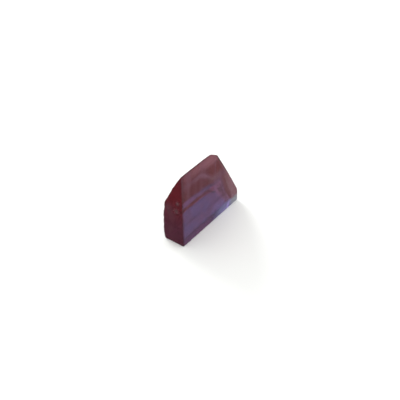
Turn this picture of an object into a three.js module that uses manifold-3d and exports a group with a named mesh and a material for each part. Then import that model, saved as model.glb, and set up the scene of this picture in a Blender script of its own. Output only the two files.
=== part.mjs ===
// A natural alexandrite: a thin wedge-shaped crystal of chrysoberyl, standing on its flat broken base.
//
// Millimetres, +Z up. The broad front face looks along -Y and the upright end face along -X.
// The origin is on the base plane, under the middle of the crystal's bounding box.
//
// The crystal is made as nature bounds one. A block is cleaved along each flat face in turn, growth
// steps are cut into the back, the sharp edges are worn, and then chips and pits are bitten out.
import * as THREE from 'three';
import { mergeVertices } from 'three/addons/utils/BufferGeometryUtils.js';
import Module from 'manifold-3d';

const wasm = await Module();
wasm.setup();

// ---------------------------------------------------------------- driving dimensions

const BASE_LENGTH = 10.0; // along the foot of the front face
const DEPTH = 2.62; // from the front face to the fullest part of the back
const HEIGHT = 9.24; // from the base to the thin top edge
const END_LEAN = 0.24; // how far the top of the end face leans out over its foot

// Corners of the front face on its sloping side, from the top edge down to the right end.
// x is measured from the foot of the end face, z from the base.
const CROWN = { x: 3.6, z: HEIGHT };
const SHOULDER_BEND = { x: 4.88, z: 9.0 };
const SHOULDER_FOOT = { x: 5.9, z: 8.4 };
const SLOPE_BEND = { x: 7.77, z: 5.42 };
const SLOPE_FOOT = { x: 9.94, z: 1.6 };
const END_BEND = { x: BASE_LENGTH, z: 1.1 };

// How far the sloping faces sweep back to the left for each millimetre of depth.
const CROWN_SWEEP = 0.4;
const SHOULDER_SWEEP = 0.7;
const SLOPE_SWEEP = 0.47;

// Corners of the back along the end face, from the top edge down. depth is measured from the front face.
const KNIFE_EDGE = { depth: 0.03, z: HEIGHT };
const RISER_TOP = { depth: 1.3, z: 7.12 };
const RISER_FOOT = { depth: 1.3, z: 7.02 };
const LOWER_SLOPE_FOOT = { depth: 2.3, z: 4.97 };
const TERRACE_BROW = { depth: 2.38, z: 3.95 };
const BACK_TOP = { depth: 2.49, z: 3.76 };
const HEEL_TOP = { depth: DEPTH, z: 0.9 };
const HEEL_FOOT = { depth: 2.51, z: 0.0 };

// The riser under the upper slope thins out to the right, where the two slopes run together.
const RISER_FALL = -0.02; // the lower slope drops by this for each millimetre along +X

// The edge over the upper terrace is level at first, and is then truncated by a brow.
const BROW_START = 3.0; // x where the brow begins
const BROW_RUN = { depth: 0.2, drop: 0.8 }; // the brow's steepness
const BROW_FALL = 0.18; // the brow drops by this for each millimetre along +X

// The lower half of the back is a terrace that stands proud. Its outline starts level and bends down.
const TERRACE_OUTLINE = [
  { x: 0, z: BACK_TOP.z },
  { x: 4.7, z: BACK_TOP.z },
  { x: 6.6, z: 3.14 },
  { x: 9.4, z: 0.84 },
];
const TERRACE_LEAN = 0.33; // the riser gains this much depth for each millimetre down its slope

const WEAR = 0.05; // width of the worn strip along a sharp edge

// ---------------------------------------------------------------- cutting tools

const REACH = 40; // half-spaces are cut with blocks this long, far larger than the crystal
const SAME_PLACE = 1e-5; // corners closer than this are one corner
const UP = new THREE.Vector3(0, 0, 1);

// Takes a point given from the foot of the end face, the front face and the base to the part's frame.
function place(x, depth, z) {
  const middle = (BASE_LENGTH - END_LEAN) / 2;
  return new THREE.Vector3(x - middle, depth - DEPTH / 2, z);
}

function solidOf(geometry) {
  const bare = geometry.clone();
  bare.deleteAttribute('normal');
  bare.deleteAttribute('uv');
  const merged = mergeVertices(bare, SAME_PLACE);
  const mesh = new wasm.Mesh({
    numProp: 3,
    vertProperties: new Float32Array(merged.attributes.position.array),
    triVerts: new Uint32Array(merged.index.array),
  });
  return new wasm.Manifold(mesh);
}

function geometryOf(solid) {
  const mesh = solid.getMesh();
  const geometry = new THREE.BufferGeometry();
  geometry.setAttribute('position', new THREE.BufferAttribute(new Float32Array(mesh.vertProperties), 3));
  geometry.setIndex(new THREE.BufferAttribute(new Uint32Array(mesh.triVerts), 1));
  geometry.computeVertexNormals();
  return geometry;
}

// A face is a point on it and its outward normal.
function face(point, x, y, z) {
  return { point, normal: new THREE.Vector3(x, y, z).normalize() };
}

// Everything that lies beyond a face.
function beyond({ point, normal }) {
  const block = new THREE.BoxGeometry(REACH, REACH, REACH);
  block.translate(0, 0, REACH / 2);
  block.applyQuaternion(new THREE.Quaternion().setFromUnitVectors(UP, normal));
  block.translate(point.x, point.y, point.z);
  return solidOf(block);
}

// ---------------------------------------------------------------- flat faces

// A face through two corners of the front outline, running down to the right.
function sideFace(upper, lower, sweep) {
  const run = lower.x - upper.x;
  const drop = upper.z - lower.z;
  return face(place(upper.x, 0, upper.z), drop, drop * sweep, run);
}

// A face through two corners of the back outline. Its level lines drop by `fall` along +X.
function backFace(upper, lower, fall = 0) {
  const spread = lower.depth - upper.depth;
  const drop = upper.z - lower.z;
  return face(place(0, upper.depth, upper.z), fall * spread, drop, spread);
}

const base = face(place(0, 0, 0), 0, 0, -1);
const front = face(place(0, 0, 0), 0, -1, 0);
const endFace = face(place(0, 0, 0), -HEIGHT, 0, -END_LEAN);
const rightEnd = face(place(BASE_LENGTH, 0, 0), 1, 0, 0);
const rightBend = sideFace(SLOPE_FOOT, END_BEND, 0);
const lowerSide = sideFace(SLOPE_BEND, SLOPE_FOOT, SLOPE_SWEEP);
const upperSide = sideFace(SHOULDER_FOOT, SLOPE_BEND, SLOPE_SWEEP);
const shoulder = sideFace(SHOULDER_BEND, SHOULDER_FOOT, SHOULDER_SWEEP);
const crown = sideFace(CROWN, SHOULDER_BEND, CROWN_SWEEP);
const topLand = face(place(0, 0, HEIGHT), 0, 0, 1);
const upperSlope = backFace(KNIFE_EDGE, RISER_TOP);
const back = backFace(BACK_TOP, HEEL_TOP);
const heel = backFace(HEEL_TOP, HEEL_FOOT);
const brow = face(
  place(BROW_START, LOWER_SLOPE_FOOT.depth, LOWER_SLOPE_FOOT.z),
  BROW_FALL * BROW_RUN.depth,
  BROW_RUN.drop,
  BROW_RUN.depth,
);

let stone = solidOf(new THREE.BoxGeometry(REACH / 2, REACH / 2, REACH / 2));
const flatFaces = [
  base, front, endFace, rightEnd, rightBend, lowerSide, upperSide,
  shoulder, crown, topLand, upperSlope, back, heel, brow,
];
for (const flat of flatFaces) {
  stone = stone.subtract(beyond(flat));
}

// ---------------------------------------------------------------- growth steps

// The riser of the terrace below its outline, from one corner to the next.
function terraceRiser(from, to) {
  const run = to.x - from.x;
  const drop = from.z - to.z;
  const lean = TERRACE_LEAN / Math.hypot(run, drop);
  return face(place(from.x, BACK_TOP.depth, from.z), drop * lean, 1, run * lean);
}

// A step is a pair of faces that meet in a hollow corner: what lies beyond both is cut away.
const riser = backFace(RISER_TOP, RISER_FOOT);
const lowerSlope = backFace(RISER_FOOT, LOWER_SLOPE_FOOT, RISER_FALL);
const upperTerrace = backFace(LOWER_SLOPE_FOOT, TERRACE_BROW);
const growthSteps = [[riser, lowerSlope]];
for (let corner = 1; corner < TERRACE_OUTLINE.length; corner += 1) {
  growthSteps.push([upperTerrace, terraceRiser(TERRACE_OUTLINE[corner - 1], TERRACE_OUTLINE[corner])]);
}
for (const [above, below] of growthSteps) {
  stone = stone.subtract(beyond(above).intersect(beyond(below)));
}

// ---------------------------------------------------------------- worn edges

// Planes off the edge where two faces meet, leaving a strip of the given width.
function wearEdge(solid, one, other, width) {
  const sum = one.normal.clone().add(other.normal);
  const halfTurn = one.normal.angleTo(other.normal) / 2;
  const cut = (width / 2) * Math.tan(halfTurn);
  // A point on both faces, nearest to the first face's own point.
  const across = other.normal.clone().addScaledVector(one.normal, -one.normal.dot(other.normal));
  const gap = other.point.clone().sub(one.point).dot(other.normal);
  const onEdge = one.point.clone().addScaledVector(across, gap / across.dot(other.normal));
  const bevel = face(onEdge, sum.x, sum.y, sum.z);
  bevel.point.addScaledVector(bevel.normal, -cut);
  return solid.subtract(beyond(bevel));
}

const wornEdges = [
  [front, endFace], [front, base], [front, upperSide], [front, lowerSide], [front, rightEnd],
  [front, shoulder], [endFace, base], [endFace, upperSlope], [endFace, lowerSlope], [endFace, back],
  [endFace, topLand], [heel, base], [rightEnd, base], [lowerSide, rightEnd],
  [upperSide, upperSlope], [upperSide, lowerSlope],
];
for (const [one, other] of wornEdges) {
  stone = wearEdge(stone, one, other, WEAR);
}

// ---------------------------------------------------------------- chips and pits

const BITE_DETAIL = 6; // how finely the round hollows are faceted

// A shell-shaped hollow: `width` across and `depth` deep at a point of the surface, facing `outward`.
function bite(solid, { at, outward, width, depth }) {
  const radius = (width * width / 4 + depth * depth) / (2 * depth);
  const hollow = new THREE.IcosahedronGeometry(radius, BITE_DETAIL);
  const centre = at.clone().addScaledVector(outward, radius - depth);
  hollow.translate(centre.x, centre.y, centre.z);
  return solid.subtract(solidOf(hollow));
}

// A point on the end face, which leans out towards its top.
function onEnd(depth, z) {
  return place((-END_LEAN * z) / HEIGHT, depth, z);
}

const BACK_LEFT = new THREE.Vector3(-1, 1, 0).normalize();
const UP_FRONT = new THREE.Vector3(0, -0.3, 1).normalize();
const DOWN_FRONT = new THREE.Vector3(0, -1, -1).normalize();
const DOWN_BACK = new THREE.Vector3(0, 1, -1).normalize();
const DOWN_LEFT = new THREE.Vector3(-1, 0, -1).normalize();
const RIGHT_FRONT = new THREE.Vector3(1, -1, 0.6).normalize();

const bites = [
  // the upright back edge of the end face
  { at: onEnd(2.5, 3.05), outward: BACK_LEFT, width: 0.6, depth: 0.04 },
  { at: onEnd(2.56, 2.1), outward: BACK_LEFT, width: 0.5, depth: 0.05 },
  { at: onEnd(2.6, 1.25), outward: BACK_LEFT, width: 0.35, depth: 0.04 },
  // the sloping back edge of the end face
  { at: onEnd(2.28, 5.02), outward: BACK_LEFT, width: 0.3, depth: 0.03 },
  { at: onEnd(1.85, 5.9), outward: BACK_LEFT, width: 0.4, depth: 0.04 },
  { at: onEnd(0.82, 7.9), outward: BACK_LEFT, width: 0.35, depth: 0.03 },
  // the thin top edge
  { at: place(0.9, 0.02, HEIGHT), outward: UP_FRONT, width: 0.4, depth: 0.02 },
  { at: place(2.1, 0.02, HEIGHT), outward: UP_FRONT, width: 0.5, depth: 0.03 },
  // the sloping edge of the front face
  { at: place(6.5, 0, 7.42), outward: RIGHT_FRONT, width: 0.4, depth: 0.03 },
  { at: place(8.42, 0, 4.23), outward: RIGHT_FRONT, width: 0.4, depth: 0.03 },
  // the rim of the base
  { at: place(2.3, 0, 0), outward: DOWN_FRONT, width: 0.5, depth: 0.05 },
  { at: place(5.4, 0, 0), outward: DOWN_FRONT, width: 0.35, depth: 0.04 },
  { at: place(8.1, 0, 0), outward: DOWN_FRONT, width: 0.5, depth: 0.05 },
  { at: place(1.4, HEEL_FOOT.depth, 0), outward: DOWN_BACK, width: 0.5, depth: 0.04 },
  { at: place(4.6, HEEL_FOOT.depth, 0), outward: DOWN_BACK, width: 0.7, depth: 0.05 },
  { at: place(7.2, HEEL_FOOT.depth, 0), outward: DOWN_BACK, width: 0.45, depth: 0.04 },
  { at: place(0, 1.5, 0), outward: DOWN_LEFT, width: 0.4, depth: 0.04 },
  // two etched pits in the end face and one in the upper slope
  { at: onEnd(0.73, 5.44), outward: endFace.normal, width: 0.36, depth: 0.05 },
  { at: onEnd(0.69, 4.54), outward: endFace.normal, width: 0.3, depth: 0.04 },
  { at: place(2.6, 1.0, 7.6), outward: upperSlope.normal, width: 0.3, depth: 0.02 },
];
for (const hollow of bites) {
  stone = bite(stone, hollow);
}

// ---------------------------------------------------------------- the crystal

const alexandrite = new THREE.Mesh(
  geometryOf(stone),
  new THREE.MeshStandardMaterial({ name: 'alexandrite', color: 0x6a3547, roughness: 0.2, metalness: 0 }),
);
alexandrite.name = 'alexandrite';

const crystal = new THREE.Group();
crystal.add(alexandrite);
export default crystal;
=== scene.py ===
import itertools

import bpy
import numpy as np
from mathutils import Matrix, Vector


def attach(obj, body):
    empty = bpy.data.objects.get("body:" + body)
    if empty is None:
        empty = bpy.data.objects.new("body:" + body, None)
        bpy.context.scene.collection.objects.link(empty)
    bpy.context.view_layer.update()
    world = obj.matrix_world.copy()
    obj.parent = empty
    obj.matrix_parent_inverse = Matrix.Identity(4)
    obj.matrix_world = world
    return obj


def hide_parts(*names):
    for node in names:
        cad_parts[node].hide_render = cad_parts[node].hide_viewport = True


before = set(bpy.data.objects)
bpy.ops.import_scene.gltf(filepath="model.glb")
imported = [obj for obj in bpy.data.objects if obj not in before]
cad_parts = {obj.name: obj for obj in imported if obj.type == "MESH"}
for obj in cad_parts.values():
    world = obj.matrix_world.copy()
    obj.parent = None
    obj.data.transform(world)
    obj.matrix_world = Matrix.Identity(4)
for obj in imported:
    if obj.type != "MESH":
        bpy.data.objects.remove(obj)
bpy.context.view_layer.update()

# ---------------------------------------------------------------- the crystal
# One natural crystal of alexandrite, a thin wedge bounded by flat growth faces on every side but
# the underside, where it broke from its rock. Growth steps cross its back, and its edges are worn
# and chipped. Sizes are in millimetres from the foot of the end face, the front face and the base.

MM = 0.001
BASE_LENGTH = 10.0
DEPTH = 2.62
HEIGHT = 9.24
END_LEAN = 0.24

# Corners of the front's outline: how far along it, and how high up.
CROWN = (3.6, HEIGHT)
SHOULDER_BEND = (4.88, 9.04)
SHOULDER_FOOT = (5.9, 8.41)
SLOPE_BEND = (7.77, 5.42)
SLOPE_FOOT = (9.94, 1.6)
END_BEND = (BASE_LENGTH, 1.1)
CROWN_SWEEP = 0.4
SHOULDER_SWEEP = 0.7
SLOPE_SWEEP = 0.47

# Corners of the back's profile: how deep behind the front, and how high up.
KNIFE_EDGE = (0.03, HEIGHT)
RISER_TOP = (1.3, 7.12)
RISER_FOOT = (1.3, 7.02)
LOWER_SLOPE_FOOT = (2.35, 5.0)
TERRACE_BROW = (2.43, 3.98)
BACK_TOP = (2.54, 3.8)
HEEL_TOP = (DEPTH + 0.03, 1.0)
HEEL_FOOT = (2.51, 0.0)
RISER_FALL = -0.02  # the foot of the upper growth step rises a little to the right
BROW_START = 3.0  # how far along the brow meets the foot of the lower slope
BROW_RUN = (0.2, 0.8)  # how far back and how far down it runs
BROW_FALL = 0.18  # and how far it drops for each millimetre to the right

# The lower terrace's outline on the back: how far along, and how high up.
TERRACE_OUTLINE = [(0.0, BACK_TOP[1]), (5.2, BACK_TOP[1]), (6.7, 2.8), (8.8, 0.5)]
TERRACE_LEAN = 0.7


def spot(along, depth, up):
    """A point in the part's frame: the measures from the front's foot, less half the crystal's."""
    return np.array([along - (BASE_LENGTH - END_LEAN) / 2, depth - DEPTH / 2, up])


def facet(point, normal):
    """A flat face as four numbers: its outward unit normal, and the point's distance along it."""
    outward = np.array(normal, float)
    outward /= np.linalg.norm(outward)
    return np.append(outward, outward @ point)


def side_facet(upper, lower, sweep):
    """A face through two corners of the front's outline, which draws in by the sweep for each
    millimetre back: its normal is the drop along, the sweep times that back, and the run up."""
    run, drop = lower[0] - upper[0], upper[1] - lower[1]
    return facet(spot(upper[0], 0, upper[1]), (drop, drop * sweep, run))


def back_facet(upper, lower, fall=0.0):
    """A face through two corners of the back's profile, which drops by the fall for each
    millimetre right: its normal is the fall times the spread, the drop back, the spread up."""
    spread, drop = lower[0] - upper[0], upper[1] - lower[1]
    return facet(spot(0, *upper), (fall * spread, drop, spread))


def terrace_riser(start, end):
    """A riser of the lower terrace through one stretch of its outline, less deep by the lean for
    each millimetre up and out from that stretch."""
    run, drop = end[0] - start[0], start[1] - end[1]
    lean = TERRACE_LEAN / np.hypot(run, drop)
    return facet(spot(start[0], BACK_TOP[0], start[1]), (drop * lean, 1, run * lean))


BROW_SLOPE = (BROW_FALL * BROW_RUN[0], BROW_RUN[1], BROW_RUN[0])
# Each flat face, and how far apart the rings of points on it lie: closer where it has small relief.
FACES = {
    "base": (facet(spot(0, 0, 0), (0, 0, -1)), 0.5),
    "front": (facet(spot(0, 0, 0), (0, -1, 0)), 0.2),
    "end_face": (facet(spot(0, 0, 0), (-HEIGHT, 0, -END_LEAN)), 0.09),
    "right_end": (facet(spot(BASE_LENGTH, 0, 0), (1, 0, 0)), 0.14),
    "right_bend": (side_facet(SLOPE_FOOT, END_BEND, 0), 0.14),
    "lower_side": (side_facet(SLOPE_BEND, SLOPE_FOOT, SLOPE_SWEEP), 0.14),
    "upper_side": (side_facet(SHOULDER_FOOT, SLOPE_BEND, SLOPE_SWEEP), 0.14),
    "shoulder": (side_facet(SHOULDER_BEND, SHOULDER_FOOT, SHOULDER_SWEEP), 0.1),
    "crown": (side_facet(CROWN, SHOULDER_BEND, CROWN_SWEEP), 0.1),
    "upper_slope": (back_facet(KNIFE_EDGE, RISER_TOP), 0.09),
    "back": (back_facet(BACK_TOP, HEEL_TOP), 0.1),
    "heel": (back_facet(HEEL_TOP, HEEL_FOOT), 0.22),
    "brow": (facet(spot(BROW_START, *LOWER_SLOPE_FOOT), BROW_SLOPE), 0.09),
}
FLAT_FACES = np.array([face for face, _ in FACES.values()])
RING_SPACING = [spacing for _, spacing in FACES.values()]
RIM_SPACING = 0.08
FRONT = list(FACES).index("front")
RIPPLED = [list(FACES).index(name) for name in ("upper_slope", "back", "brow")]

# A growth step is cut where a point lies beyond its tread and beyond any of its risers.
GROWTH_STEPS = [
    (
        back_facet(RISER_TOP, RISER_FOOT),
        [back_facet(RISER_FOOT, LOWER_SLOPE_FOOT, RISER_FALL)],
    ),
    (
        back_facet(LOWER_SLOPE_FOOT, TERRACE_BROW),
        [terrace_riser(*pair) for pair in zip(TERRACE_OUTLINE, TERRACE_OUTLINE[1:])],
    ),
]

WORN_EDGE = 0.022  # how far wear has rounded a square edge
HEART = spot(4.1, 1.15, 3.5)  # a point deep inside, from which the whole surface is seen


def chip(point, outward, width, depth):
    """A shell-shaped hollow as a ball's centre and radius: the cap of that width and depth."""
    direction = np.array(outward, float)
    direction /= np.linalg.norm(direction)
    radius = (width * width / 4 + depth * depth) / (2 * depth)
    return np.append(point + direction * (radius - depth), radius)


def on_end(depth, up):
    """A point on the end face, which leans out towards its top."""
    return spot(-END_LEAN * up / HEIGHT, depth, up)


CHIPS = [
    # the end face's back edge, upright below and sloping above
    chip(on_end(2.56, 3.4), (-1, 1, 0.2), 0.28, 0.05),
    chip(on_end(2.58, 2.9), (-1, 1.3, -0.2), 0.55, 0.07),
    chip(on_end(2.6, 2.25), (-1, 0.8, 0), 0.22, 0.03),
    chip(on_end(2.64, 1.7), (-1, 1, 0.3), 0.62, 0.06),
    chip(on_end(2.64, 1.15), (-1, 1, 0), 0.2, 0.03),
    chip(on_end(2.38, 4.3), (-1, 1, 0.4), 0.32, 0.05),
    chip(on_end(2.33, 4.95), (-1, 1, 0), 0.26, 0.04),
    chip(on_end(1.85, 5.9), (-1, 1.2, 0.2), 0.42, 0.05),
    chip(on_end(1.3, 7.05), (-1, 1, 0), 0.22, 0.03),
    chip(on_end(0.82, 7.9), (-1, 1, 0), 0.35, 0.03),
    # the thin top edge
    chip(spot(0.9, 0.02, HEIGHT), (0, -0.3, 1), 0.4, 0.02),
    chip(spot(2.1, 0.02, HEIGHT), (0, -0.3, 1), 0.5, 0.03),
    # the front's sloping edge
    chip(spot(6.5, 0, 7.42), (1, -1, 0.6), 0.4, 0.03),
    chip(spot(8.42, 0, 4.23), (1, -1, 0.6), 0.4, 0.03),
    # the rim of the base
    chip(spot(2.3, 0, 0), (0, -1, -1), 0.5, 0.05),
    chip(spot(5.4, 0, 0), (0, -1, -1), 0.35, 0.04),
    chip(spot(8.1, 0, 0), (0, -1, -1), 0.5, 0.05),
    chip(spot(1.4, HEEL_FOOT[0], 0), (0, 1, -1), 0.5, 0.04),
    chip(spot(4.6, HEEL_FOOT[0], 0), (0, 1, -1), 0.7, 0.05),
    chip(spot(7.2, HEEL_FOOT[0], 0), (0, 1, -1), 0.45, 0.04),
    chip(spot(0, 1.5, 0), (-1, 0, -1), 0.4, 0.04),
    # two corners
    chip(spot(BASE_LENGTH, 0, 0), (1, -0.7, -1), 1.0, 0.12),
    chip(on_end(0, HEIGHT), (-1, -0.6, 1), 0.5, 0.07),
]

UPPER_ETCHING = (0.61, 5.6)  # where on the end face: how deep behind the front, and how high up
LOWER_ETCHING = (0.78, 4.55)
ETCHED_WIDTHS = (0.12, 0.26)
ETCHED_DEPTH = 0.025  # depth of an etched pit as a share of its width


def etched_patch(point, outward, across, count, seed):
    """A ragged patch of pits: shallow hollows strewn over a face, with sizes from a seeded draw."""
    draw = np.random.default_rng(seed)
    normal = np.array(outward, float)
    aside = draw.normal(0, across / 3, (count, 3))
    aside -= np.outer(aside @ normal, normal)
    widths = draw.uniform(*ETCHED_WIDTHS, count)
    return [chip(point + a, normal, w, w * ETCHED_DEPTH) for a, w in zip(aside, widths)]


out_of_end = FACES["end_face"][0][:3]
CHIPS += etched_patch(on_end(*UPPER_ETCHING), out_of_end, across=0.36, count=8, seed=3)
CHIPS += etched_patch(on_end(*LOWER_ETCHING), out_of_end, across=0.5, count=8, seed=5)


def beyond(points, faces):
    """How far points lie beyond flat faces: their distance along each normal, less the face's."""
    faces = np.atleast_2d(faces)
    return points @ faces[:, :3].T - faces[:, 3]


def soft_greatest(values, rounding):
    """The greatest of each row, rounded where two are close: the log of a sum of exponentials."""
    hardness = np.log(2) / rounding
    most = values.max(1, keepdims=True)
    return most[:, 0] + np.log(np.exp(hardness * (values - most)).sum(1)) / hardness


RIPPLES = [(0.005, 1.7, 0.4), (0.003, 0.93, 2.1), (0.002, 0.52, 1.0)]  # height, pitch, start
RIPPLE_FALL = 0.05  # how far a growth line falls for each millimetre to the right
RIPPLE_WAVE = (0.06, 1.3)  # how far it waves up and down, and how fast along the crystal


def growth_lines(points):
    """Fine growth lines: three trains of ripples that run level but for a fall to the right, each
    a sine of the height over its pitch, and bent a little by a slow wave along the crystal."""
    wave = RIPPLE_WAVE[0] * np.sin(points[:, 0] * RIPPLE_WAVE[1])
    level = points[:, 2] + RIPPLE_FALL * points[:, 0] + wave
    return sum(high * np.sin(2 * np.pi * level / pitch + start) for high, pitch, start in RIPPLES)


def beyond_growth(points):
    """Distance beyond the grown shape: the greatest of the flat faces' and of the steps', and a
    step's is the lesser of its tread's and of its risers' greatest."""
    measures = [beyond(points, FLAT_FACES)]
    measures[0][:, RIPPLED] += growth_lines(points)[:, None]
    for tread, risers in GROWTH_STEPS:
        both = np.stack([beyond(points, tread)[:, 0], beyond(points, risers).max(1)], 1)
        measures.append(-soft_greatest(-both, WORN_EDGE / 2)[:, None])
    return soft_greatest(np.concatenate(measures, 1), WORN_EDGE)


def beyond_chips(points):
    """How deep points lie in the deepest chip: its radius less the distance from its centre."""
    deepest = np.full(len(points), -np.inf)
    for ball in CHIPS:
        deepest = np.maximum(deepest, ball[3] - np.linalg.norm(points - ball[:3], axis=1))
    return deepest


def beyond_surface(points):
    """Distance beyond the worn crystal: the greater of the grown shape's and of the chips'."""
    both = np.stack([beyond_growth(points), beyond_chips(points)], 1)
    return soft_greatest(both, WORN_EDGE / 4)


LEAST_CORNER = 1e-4  # least volume that the normals of three faces span if they meet in a point
TOUCHING = 1e-5  # a corner this close to a face lies on it


def sharp_corners(faces):
    """Corners of the block that the flat faces bound: where three of them meet, beyond none."""
    triples = faces[np.array(list(itertools.combinations(range(len(faces)), 3)))]
    triples = triples[np.abs(np.linalg.det(triples[:, :, :3])) > LEAST_CORNER]
    points = np.linalg.solve(triples[:, :, :3], triples[:, :, 3:])[..., 0]
    points = points[(beyond(points, faces) < TOUCHING / 10).all(1)]
    return np.unique(points.round(7), axis=0)


EDGE_CHIPS = 70
EDGE_CHIP_WIDTHS = (0.2, 0.55)
LEAST_TURN = 0.6  # cosine of the least turn between two faces that leaves an edge to chip


def edge_chips(faces, corners, count, seed):
    """Small chips along the edges, but for those of the front above its foot. Each is at a seeded
    place on the line between two corners that two faces share, and faces midway between them."""
    draw = np.random.default_rng(seed)
    touching = np.abs(beyond(corners, faces)) < TOUCHING
    edges = []
    for one, other in itertools.combinations(range(len(faces)), 2):
        shared = corners[touching[:, one] & touching[:, other]]
        turned = faces[one, :3] @ faces[other, :3] < LEAST_TURN
        if len(shared) == 2 and turned and one != FRONT:
            edges.append((shared[0], shared[1], faces[one, :3] + faces[other, :3]))
    lengths = np.array([np.linalg.norm(end - start) for start, end, _ in edges])
    chosen = draw.choice(len(edges), count, p=lengths / lengths.sum())
    shares = draw.random(count)
    widths = draw.uniform(*EDGE_CHIP_WIDTHS, count)
    made = []
    for number, share, width in zip(chosen, shares, widths):
        start, end, outward = edges[number]
        made.append(chip(start + share * (end - start), outward, width, 0.03 + 0.07 * width))
    return made


def rim_of(face, corners, spacing):
    """A face's middle and its outline, anticlockwise from outside, with each edge shared out
    evenly: the corners are sorted by their angle around the middle."""
    own = corners[np.abs(beyond(corners, face)[:, 0]) < TOUCHING]
    middle = own.mean(0)
    across = own[0] - middle
    sideways = np.cross(face[:3], across)
    own = own[np.argsort(np.arctan2((own - middle) @ sideways, (own - middle) @ across))]
    stretches = []
    for start, end in zip(own, np.roll(own, -1, axis=0)):
        count = max(1, int(np.ceil(np.linalg.norm(end - start) / spacing - 1e-6)))
        stretches.append(start + (end - start) * (np.arange(count) / count)[:, None])
    return middle, np.concatenate(stretches)


def fan(middle, rim, rings, crowding=1.35):
    """A face as a polar grid. Around runs along its rim and outward from its middle: a point is
    the middle plus a share of the way to the rim, and the shares crowd towards the rim."""
    outward = 1 - (1 - np.arange(1, rings + 1) / rings) ** crowding
    grid = middle + outward[:, None, None] * (rim - middle)
    number = 1 + np.arange(rings * len(rim)).reshape(rings, len(rim))
    following = np.roll(number, -1, axis=1)
    quads = np.stack([number[:-1], number[1:], following[1:], following[:-1]], -1).reshape(-1, 4)
    hub = np.stack([np.zeros_like(number[0]), number[0], following[0]], -1)
    return np.concatenate([middle[None], grid.reshape(-1, 3)]), quads, hub


NEAREST, FARTHEST = 0.6, 1.02  # shares of the way to the sharp block that hold the worn surface
HALVINGS = 22


def crystal_surface(corners):
    """The whole crystal as one closed surface: a fan on every flat face, welded along the shared
    rims, and each point moved along its line from the heart onto the worn surface by halving."""
    points, quads, hubs = [], [], []
    for face, ring_spacing in zip(FLAT_FACES, RING_SPACING):
        middle, rim = rim_of(face, corners, RIM_SPACING)
        reach = np.linalg.norm(rim - middle, axis=1).max()
        grid, around, hub = fan(middle, rim, int(np.ceil(reach / ring_spacing)))
        offset = sum(len(part) for part in points)
        points.append(grid)
        quads.append(around + offset)
        hubs.append(hub + offset)
    points, quads, hubs = map(np.concatenate, (points, quads, hubs))
    _, first, place = np.unique(points.round(5), axis=0, return_index=True, return_inverse=True)
    points, quads, hubs = points[first], place.ravel()[quads], place.ravel()[hubs]
    low, high = np.full(len(points), NEAREST), np.full(len(points), FARTHEST)
    for _ in range(HALVINGS):
        share = (low + high) / 2
        inside = beyond_surface(HEART + share[:, None] * (points - HEART)) < 0
        low, high = np.where(inside, share, low), np.where(inside, high, share)
    return HEART + low[:, None] * (points - HEART), quads, hubs


def slope_of(measure, points, step=1e-3):
    """Slope of a distance at points: its change over a small step along each axis."""
    steps = np.eye(3) * step
    return np.stack([(measure(points + s) - measure(points - s)) / (2 * step) for s in steps], 1)


corners = sharp_corners(FLAT_FACES)
CHIPS += edge_chips(FLAT_FACES, corners, EDGE_CHIPS, seed=11)
points, quads, hubs = crystal_surface(corners)
growth_slope = slope_of(beyond_growth, points)
steepness = np.linalg.norm(growth_slope, axis=1)
surface = {
    # how squarely the grown face looks along the crystal, as the end face does
    "facing_end": np.abs(growth_slope[:, 0]) / steepness,
    # how squarely it looks forward
    "facing_front": np.clip(-growth_slope[:, 1] / steepness, 0, 1),
    # where two faces meet, the slope of the soft greatest is less than one
    "worn": np.clip((1 - steepness) * 4, 0, 1),
    # where a chip lies at the surface, or within a few thousandths of a millimetre of it
    "chipped": (beyond_chips(points) > beyond_growth(points) - 0.004).astype(float),
}

mesh = bpy.data.meshes.new("alexandrite_crystal")
mesh.from_pydata((points * MM).tolist(), [], quads.tolist() + hubs.tolist())
mesh.validate()
mesh.polygons.foreach_set("use_smooth", np.ones(len(mesh.polygons), bool))
for name, values in surface.items():
    layer = mesh.attributes.new(name, "FLOAT", "POINT")
    layer.data.foreach_set("value", values.astype(np.float32))
mesh.update()
crystal = bpy.data.objects.new("alexandrite_crystal", mesh)
bpy.context.scene.collection.objects.link(crystal)


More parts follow.
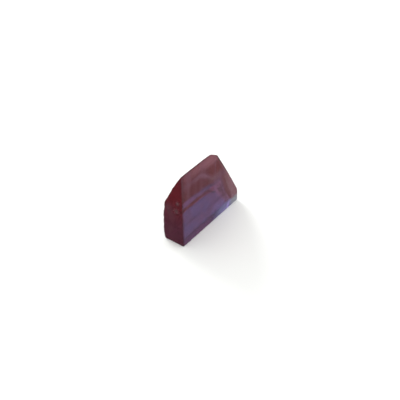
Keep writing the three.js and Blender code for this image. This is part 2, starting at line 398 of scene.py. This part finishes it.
class Shade:
    """One output of a node. Arithmetic on it adds Math nodes, so a mask reads as it is."""

    def __init__(self, tree, socket=None):
        self.tree = tree
        self.socket = socket

    def node(self, kind, settings, inputs, output=0):
        """Adds a node: its settings are set first, then each socket is given its value or link."""
        made = self.tree.nodes.new(kind)
        for name, value in settings.items():
            setattr(made, name, value)
        for name, value in inputs.items():
            if isinstance(value, Shade):
                self.tree.links.new(value.socket, made.inputs[name])
            else:
                made.inputs[name].default_value = value
        return Shade(self.tree, made.outputs[output])

    def feed(self, node, socket):
        """Links this output to a socket of a node that is there already."""
        self.tree.links.new(self.socket, self.tree.nodes[node].inputs[socket])

    def math(self, operation, one, other=0.0):
        return self.node("ShaderNodeMath", {"operation": operation}, {0: one, 1: other})

    def __add__(self, other):
        return self.math("ADD", self, other)

    def __sub__(self, other):
        return self.math("SUBTRACT", self, other)

    def __rsub__(self, other):
        return self.math("SUBTRACT", other, self)

    def __mul__(self, other):
        return self.math("MULTIPLY", self, other)

    def greater(self, other):
        return self.math("MAXIMUM", self, other)

    __radd__ = __add__
    __rmul__ = __mul__

    def rise(self, low, high):
        """A soft mask: 0 up to the low value, 1 from the high one, and smooth between."""
        return self.node(
            "ShaderNodeMapRange",
            {"interpolation_type": "SMOOTHSTEP"},
            {"Value": self, "From Min": low, "From Max": high},
        )

    def band(self, middle, half, soft):
        """A soft stripe of values: 1 near the middle, 0 beyond half its width and its soft edge."""
        away = self.math("ABSOLUTE", self - middle)
        return 1 - away.rise(half - soft / 2, half + soft / 2)

    def tint(self, one, other):
        """One colour where this mask is 0, the other where it is 1."""
        return self.node("ShaderNodeMix", {"data_type": "RGBA"}, {0: self, 6: one, 7: other}, 2)

    def axis(self, number):
        """One of a place's or a direction's three numbers."""
        return self.node("ShaderNodeSeparateXYZ", {}, {"Vector": self}, number)

    def cloud(self, scale, detail):
        """Soft random values between 0 and 1 over places, with so many cells to the measure."""
        inputs = {"Vector": self, "Scale": scale, "Detail": detail}
        return self.node("ShaderNodeTexNoise", {}, inputs)


def colour(red, green, blue):
    return (red, green, blue, 1.0)


# Colours of the front
BROWN = colour(0.36, 0.055, 0.09)
# painted light towards the thin top edge
PAINTED_THIN_TOP_LIGHT = colour(0.76, 0.26, 0.34)
PINK_BAND = colour(0.58, 0.22, 0.35)
RED = colour(0.46, 0.075, 0.095)
MAUVE = colour(0.47, 0.18, 0.34)
SIDE_BROWN = colour(0.48, 0.125, 0.17)
SIDE_ROSE = colour(0.74, 0.33, 0.40)
PALE_ROSE = colour(0.74, 0.38, 0.45)
# painted light seen through the growth step behind the front
PAINTED_STEP_VIOLET = colour(0.28, 0.13, 0.32)
VIOLET = colour(0.235, 0.118, 0.270)
BLUE_VIOLET = colour(0.20, 0.132, 0.34)
FOOT_PURPLE = colour(0.33, 0.108, 0.31)
# painted light along the growth step seen behind the front
PAINTED_STEP_LINE = colour(0.34, 0.16, 0.40)
# painted shade along the slanting border
PAINTED_SHADE_MAUVE = colour(0.21, 0.075, 0.115)
# painted glow at the thin foot, pale blue turning grey towards the right end
PAINTED_GLOW_BLUE = colour(0.47, 0.46, 0.92)
PAINTED_GLOW_GREY = colour(0.86, 0.90, 1.0)
RIM_BROWN = colour(0.20, 0.03, 0.05)
# of the back and the sides
DEEP_BROWN = colour(0.32, 0.07, 0.11)
DEEP_ROSE = colour(0.40, 0.11, 0.17)
DEEP_VIOLET = colour(0.20, 0.10, 0.24)
# and of the end face
END_RED = colour(0.40, 0.045, 0.065)
END_PURPLE = colour(0.27, 0.075, 0.125)
END_GREY = colour(0.33, 0.115, 0.155)
PIT_GREY = colour(0.44, 0.30, 0.35)

# Slanting borders on the front, each through two points of it
BROWN_BORDER = ((6.2, 5.0), (8.0, 1.2))
ROSE_BORDER = ((7.1, 5.6), (9.1, 1.0))
PALE_STREAK = ((7.2, 5.0), (8.8, 1.9))
VIOLET_BORDER = ((5.2, 4.2), (8.0, 1.2))
# the painted shade follows this border
PAINTED_SHADE_BORDER = ((6.0, 4.5), (7.95, 1.5))
# the painted glow lies below these two borders
PAINTED_GLOW_BORDER = ((5.2, 0.7), (8.2, 1.5))
PAINTED_GLOW_END = ((7.8, 1.12), (9.9, 0.92))

stone = bpy.data.materials.new("alexandrite")
stone.use_nodes = True
place = Shade(stone.node_tree).node("ShaderNodeTexCoord", {}, {}, "Object")
origin = spot(0, 0, 0)
along = place.axis(0) * (1 / MM) - origin[0]
depth = place.axis(1) * (1 / MM) - origin[1]
up = place.axis(2) * (1 / MM)


def of_surface(name):
    return place.node("ShaderNodeAttribute", {"attribute_name": name}, {}, "Fac")


def beyond_line(start, end):
    """How far a place lies to the left of the line from one point of the front to the next."""
    run, rise = end[0] - start[0], end[1] - start[1]
    reach = np.hypot(run, rise)
    return up * (run / reach) - along * (rise / reach) + (rise * start[0] - run * start[1]) / reach


# Marks that keep their exact place: the etched patches, and a dark rim along the front's edges.
upper_pit = up.band(UPPER_ETCHING[1], 0.2, 0.55) * depth.band(UPPER_ETCHING[0], 0.1, 0.42)
lower_pit = up.band(LOWER_ETCHING[1], 0.25, 0.6) * depth.band(LOWER_ETCHING[0], 0.14, 0.5)
pits = upper_pit.greater(lower_pit * 0.5)
side_rim = beyond_line(SHOULDER_FOOT, SLOPE_BEND).rise(-0.3, -0.08) * up.rise(5.0, 6.4)
rim = up.rise(HEIGHT - 0.3, HEIGHT - 0.08).greater(side_rim)
by_end = 1 - along.rise(0.05, 0.35)

# Uneven growth: upright streaks, soft clouds, and borders that waver by part of a millimetre.
STREAK_CELLS = (1400, 300, 110)  # cells to the metre, along, through and up the crystal
CLOUD_CELLS = 650.0
DRIFT_CELLS = 300.0
WAVER_UP = 0.45
WAVER_ALONG = 1.0
stretched = place.node(
    "ShaderNodeMapping", {"vector_type": "POINT"}, {"Vector": place, "Scale": STREAK_CELLS}
)
streaks = stretched.cloud(1.0, 2.0)
clouds = place.cloud(CLOUD_CELLS, 3.0)
drift = place.cloud(DRIFT_CELLS, 1.0)
up = up + (clouds - 0.5) * WAVER_UP
along = along + (drift - 0.5) * WAVER_ALONG

# Places below are in millimetres, along the front's foot and up, and each mask ends softly.
# The upper half is brown, with painted light towards the thin top edge, where the thin stone lets
# more light through, and a pink band and a red patch.
tone = (up + along.rise(3.0, 5.0) * 0.45).rise(7.6, 8.7).tint(BROWN, PAINTED_THIN_TOP_LIGHT)
tone = ((1 - along.rise(0.2, 3.6)) * 0.6).tint(tone, BROWN)
red_patch = along.rise(4.3, 4.6) * up.rise(5.9, 6.6) * (1 - up.rise(7.3, 8.0))
tone = (red_patch * 0.8).tint(tone, RED)
pink_band = (up + along.rise(2.8, 6.2) * 2.1).band(7.5, 0.3, 0.6) * (1 - along.rise(3.8, 5.8))
tone = (pink_band * (along.rise(1.0, 3.2) * 0.5 + 0.45)).tint(tone, PINK_BAND)
pale_streaks = along.band(0.75, 0.08, 0.35).greater(along.band(2.15, 0.05, 0.3))
pale_streaks = streaks.rise(0.48, 0.66).greater(pale_streaks * (1 - up.rise(7.1, 7.5)))
tone = (pale_streaks * 0.45).tint(tone, PINK_BAND)
# Towards the sloping side it turns mauve, and then rose with a paler streak along the side.
tone = (along.rise(4.7, 5.6) * (1 - up.rise(4.9, 6.4))).tint(tone, MAUVE)
side_brown = beyond_line(*BROWN_BORDER).rise(0.1, 0.6) * (1 - up.rise(4.6, 6.0))
tone = side_brown.tint(tone, SIDE_BROWN)
tone = beyond_line(*ROSE_BORDER).rise(-0.2, 0.4).tint(tone, SIDE_ROSE)
pale_streak = beyond_line(*PALE_STREAK).band(0.0, 0.08, 0.4) * (1 - up.rise(4.4, 5.6))
tone = (pale_streak * 0.8).tint(tone, PALE_ROSE)
pale_cloud = up.band(5.9, 0.3, 0.9) * along.rise(4.0, 4.9) * (1 - along.rise(6.3, 7.0))
tone = (pale_cloud * 0.35).tint(tone, PALE_ROSE)
# A violet strip of painted light follows the growth step behind it, standing in for the light seen
# through that step. Under the strip a thin line stays brown.
sag = along.rise(2.5, 6.0) * 0.5
# painted light where the growth step behind is seen through the front
painted_step_light = (up + sag).band(5.42, 0.34, 0.45) * (1 - along.rise(4.2, 6.4))
tone = painted_step_light.tint(tone, PAINTED_STEP_VIOLET)
# The lower half is violet, left of a slanting border, with a purple foot and a pale top line of
# painted light.
under_line = 1 - (up + sag).rise(4.4, 4.8)
left_of_slant = 1 - beyond_line(*VIOLET_BORDER).rise(-0.45, 0.35)
violet = clouds.rise(0.4, 0.6).tint(VIOLET, BLUE_VIOLET)
tone = (under_line * left_of_slant).tint(tone, violet)
foot = (1 - up.rise(0.75, 1.15)) * (1 - along.rise(4.2, 6.5))
tone = (foot * 0.8).tint(tone, FOOT_PURPLE)
# a pale line of painted light where the growth step behind is seen through the front
line = (up + sag).band(4.85, 0.1, 0.3) * along.rise(2.5, 4.5) * (1 - along.rise(5.5, 6.5))
tone = (line * 0.5).tint(tone, PAINTED_STEP_LINE)
# Painted shade deepens the colour along the border where it runs down to the right, over the lower
# growth step's riser seen through the front.
border = beyond_line(*PAINTED_SHADE_BORDER).band(0.0, 0.4, 0.6) * (1 - up.rise(3.8, 4.8))
tone = (border * 0.9).tint(tone, PAINTED_SHADE_MAUVE)
# The thin foot at the lower right has a pale blue painted glow, standing in for light let through
# it, and a dark rim follows the front's edges.
painted_glow = (1 - beyond_line(*PAINTED_GLOW_BORDER).rise(-0.4, 0.3)) * along.rise(5.2, 7.0)
painted_glow = painted_glow * (1 - beyond_line(*PAINTED_GLOW_END).rise(-0.3, 0.25))
tone = painted_glow.tint(tone, along.rise(8.2, 9.3).tint(PAINTED_GLOW_BLUE, PAINTED_GLOW_GREY))
tone = (rim * 0.8).tint(tone, RIM_BROWN)
tone = (by_end * 0.5).tint(tone, RIM_BROWN)
# The other faces are deeper in colour, violet below the lower growth step and brown above it.
far_tone = (up + along * 0.08).rise(3.3, 5.2).tint(DEEP_VIOLET, DEEP_BROWN)
far_tone = up.rise(6.8, 9.0).tint(far_tone, DEEP_ROSE)
far_tone = (streaks.rise(0.5, 0.72) * 0.4).tint(far_tone, DEEP_ROSE)
# The foot's painted glow carries onto these faces too.
far_tone = (painted_glow * 0.6).tint(far_tone, PAINTED_GLOW_BLUE)
tone = of_surface("facing_front").rise(0.6, 0.9).tint(far_tone, tone)
# The end face is red above and purple below, clouded with grey, with two pale etched patches.
end_tone = up.rise(1.5, 6.5).tint(END_PURPLE, END_RED)
end_tone = (streaks.rise(0.5, 0.7) * 0.3).tint(end_tone, END_PURPLE)
greyed = clouds.rise(0.38, 0.6) * depth.rise(0.6, 2.0) * (1 - up.rise(4.4, 5.8))
end_tone = greyed.tint(end_tone, END_GREY)
end_tone = (pits * 0.8).tint(end_tone, PIT_GREY)
of_surface("facing_end").rise(0.75, 0.95).tint(tone, end_tone).feed("Principled BSDF", "Base Color")

# The faces are semi-bright. Chips, pits and worn edges are duller.
FACE_ROUGHNESS = 0.08
CLOUDED = 0.06
CHIPPED = 0.25
WORN = 0.12
PITTED = 0.2
roughness = of_surface("chipped") * CHIPPED + of_surface("worn") * WORN + pits * PITTED
roughness = roughness + FACE_ROUGHNESS + clouds.rise(0.35, 0.7) * CLOUDED
roughness.feed("Principled BSDF", "Roughness")

# Relief too fine to model, in millimetres: upright ridges, a grain, and slow swells.
RIDGE_HEIGHT = 0.006
GRAIN_HEIGHT = 0.0006
GRAIN_CELLS = 9000.0
SWELL_HEIGHT = 0.03
BUMP_STRENGTH = 0.5
relief = stretched.cloud(6.0, 3.0) * RIDGE_HEIGHT
relief = relief + place.cloud(GRAIN_CELLS, 2.0) * GRAIN_HEIGHT + clouds * SWELL_HEIGHT
bumped = {"Strength": BUMP_STRENGTH, "Distance": MM, "Height": relief}
place.node("ShaderNodeBump", {}, bumped).feed("Principled BSDF", "Normal")

# The stone is clear but for a fine haze, which scatters the share that isn't let through.
LET_THROUGH = 0.78
REFRACTION = 1.75
body = stone.node_tree.nodes["Principled BSDF"].inputs
body["Transmission Weight"].default_value = LET_THROUGH
body["IOR"].default_value = REFRACTION
body["Specular IOR Level"].default_value = 0.0

# Light is lost inside as in the real stone: green most, blue next, red least.
LOST_PER_MM = np.array([0.26, 0.36, 0.28])
kept = colour(*(1 - LOST_PER_MM / LOST_PER_MM.max()))
absorption = {"Density": LOST_PER_MM.max() / MM, "Color": kept}
place.node("ShaderNodeVolumeAbsorption", {}, absorption).feed("Material Output", "Volume")
mesh.materials.append(stone)

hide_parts("alexandrite")
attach(crystal, "root")

# ---------------------------------------------------------------- the floor
# A sheet of plain white paper that the crystal stands on. It lies a hair below the base, and is
# kept out of the crystal's mirror reflections, which would veil the front with white.

FLOOR_SIDE = 8.0
FLOOR_DROP = 0.00002
PAPER_WHITE = colour(0.92, 0.935, 0.912)
PAPER_ROUGHNESS = 0.9

corner_signs = [(-1, -1), (1, -1), (1, 1), (-1, 1)]
sheet = bpy.data.meshes.new("floor")
sheet.from_pydata(
    [(x * FLOOR_SIDE / 2, y * FLOOR_SIDE / 2, -FLOOR_DROP) for x, y in corner_signs],
    [],
    [(0, 1, 2, 3)],
)
floor = bpy.data.objects.new("floor", sheet)
bpy.context.scene.collection.objects.link(floor)
paper = bpy.data.materials.new("white_paper")
paper.use_nodes = True
paper_shader = paper.node_tree.nodes["Principled BSDF"]
paper_shader.inputs["Base Color"].default_value = PAPER_WHITE
paper_shader.inputs["Roughness"].default_value = PAPER_ROUGHNESS
paper_shader.inputs["Specular IOR Level"].default_value = 0.0
sheet.materials.append(paper)
floor.visible_glossy = False

# ---------------------------------------------------------------- the light
# An even white surround whose underside is dim, and one round soft lamp behind the crystal, so
# its shadow falls forward.

SURROUND = colour(1.1, 1.1, 1.1)
UNDERSIDE_RIGHT = colour(0.28, 0.28, 0.28)
UNDERSIDE_LEFT = colour(0.03, 0.03, 0.03)
DIM_FROM = -0.02  # how far below level, as a sine, the surround begins to dim
DIM_BELOW = -0.2  # and where it is as dim as it gets
LAMP_POWER = 0.3
LAMP_WIDTH = 0.12
LAMP_DISTANCE = 0.25
LAMP_AZIMUTH = np.radians(72)
LAMP_ELEVATION = np.radians(33)

world = bpy.data.worlds.new("surround")
bpy.context.scene.world = world
world.use_nodes = True
looking = Shade(world.node_tree).node("ShaderNodeTexCoord", {}, {}, "Generated")
toward_right = looking.axis(0) * 0.8 - looking.axis(1) * 0.6
underside = toward_right.rise(-0.3, 0.4).tint(UNDERSIDE_LEFT, UNDERSIDE_RIGHT)
light = looking.axis(2).rise(DIM_BELOW, DIM_FROM).tint(underside, SURROUND)
light.feed("Background", "Color")

lamp_data = bpy.data.lights.new("lamp", "AREA")
lamp_data.shape = "DISK"
lamp_data.size = LAMP_WIDTH
lamp_data.energy = LAMP_POWER
lamp = bpy.data.objects.new("lamp", lamp_data)
bpy.context.scene.collection.objects.link(lamp)
toward_lamp = Vector((
    np.cos(LAMP_AZIMUTH) * np.cos(LAMP_ELEVATION),
    np.sin(LAMP_AZIMUTH) * np.cos(LAMP_ELEVATION),
    np.sin(LAMP_ELEVATION),
))
lamp.location = toward_lamp * LAMP_DISTANCE + Vector((0, 0, HEIGHT * MM / 3))
lamp.rotation_mode = "QUATERNION"
lamp.rotation_quaternion = toward_lamp.to_track_quat("Z", "Y")

# ---------------------------------------------------------------- the camera
# It looks down on the corner where the end face meets the front, so that both faces show.

AIM = Vector((2.524 * MM, 2.0356 * MM, 0))
CAMERA_AZIMUTH = np.radians(53.69)
CAMERA_ELEVATION = np.radians(38.32)
CAMERA_DISTANCE = 79.4 * MM
SENSOR_WIDTH = 36.0
FOCAL_LENGTH = 63.0
NEAR, FAR = 0.001, 10.0

camera_data = bpy.data.cameras.new("camera")
camera_data.sensor_width = SENSOR_WIDTH
camera_data.lens = FOCAL_LENGTH
camera_data.clip_start = NEAR
camera_data.clip_end = FAR
camera = bpy.data.objects.new("camera", camera_data)
bpy.context.scene.collection.objects.link(camera)
toward_camera = Vector((
    -np.sin(CAMERA_AZIMUTH) * np.cos(CAMERA_ELEVATION),
    -np.cos(CAMERA_AZIMUTH) * np.cos(CAMERA_ELEVATION),
    np.sin(CAMERA_ELEVATION),
))
camera.location = AIM + toward_camera * CAMERA_DISTANCE
camera.rotation_mode = "QUATERNION"
camera.rotation_quaternion = toward_camera.to_track_quat("Z", "Y")
bpy.context.scene.camera = camera
bpy.context.scene.view_settings.view_transform = "Standard"
